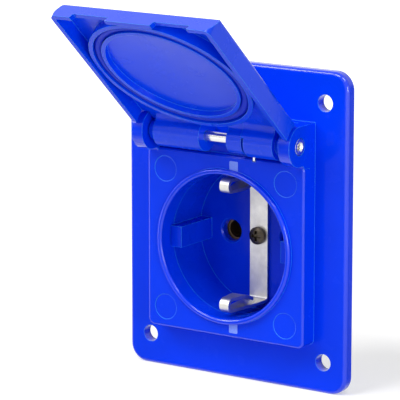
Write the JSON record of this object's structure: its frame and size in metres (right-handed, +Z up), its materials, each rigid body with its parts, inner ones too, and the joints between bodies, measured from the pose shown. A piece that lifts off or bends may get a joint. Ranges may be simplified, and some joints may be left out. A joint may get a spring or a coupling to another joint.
{
  "type": "panel-mounting mains socket with hinged lid",
  "caption": "Blue panel socket for a round mains plug with side earth clips, on a rectangular flange, with a sealed flap lid and rear screw terminals",
  "frame": {"origin": "the middle of the four fixing holes, on the flange's rear face, which lies against the panel", "axes": "+Z is up, -Y points out of the panel towards the user, +Y runs into the panel, +X is to the user's right"},
  "size_m": [0.07, 0.0785, 0.1054],
  "materials": {
    "blue_plastic": "moulded, satin gloss",
    "insert_plastic": "moulded, satin gloss",
    "lid_plastic": "moulded, satin gloss",
    "carrier_plastic": "moulded, matt",
    "seal_rubber": "soft, matt",
    "nickel_strip": "nickel-plated strip, satin",
    "pin_steel": "plain drawn",
    "zinc_steel": "zinc-plated",
    "spring_steel": "plain wire",
    "bronze_screw": "dark bronze",
    "contact_brass": "plain rolled",
    "terminal_brass": "plain milled"
  },
  "bodies": {
    "root": {"housing": "blue_plastic", "socket_insert": "insert_plastic", "insert_seal": "seal_rubber", "panel_gasket": "seal_rubber", "insert_screw_1": "zinc_steel", "insert_screw_2": "zinc_steel", "insert_screw_3": "zinc_steel", "insert_screw_4": "zinc_steel", "earth_strap": "nickel_strip", "centre_screw": "bronze_screw", "contact_carrier": "carrier_plastic", "earth_terminal": "terminal_brass", "line_contact": "contact_brass", "neutral_contact": "contact_brass", "line_terminal": "terminal_brass", "neutral_terminal": "terminal_brass", "line_clamp_screw": "zinc_steel", "neutral_clamp_screw": "zinc_steel", "earth_clamp_screw": "zinc_steel", "hinge_pin": "pin_steel", "lid_spring": "spring_steel"},
    "flap": {"lid": "lid_plastic", "lid_seal": "seal_rubber"}
  },
  "joints": [
    {"name": "lid_hinge", "type": "hinge", "parent": "root", "child": "flap", "pos_m": [0, -0.0105, 0.0242], "axis": [1, 0, 0], "range_deg": [0, 132], "deforming": ["lid_spring"]}
  ]
}
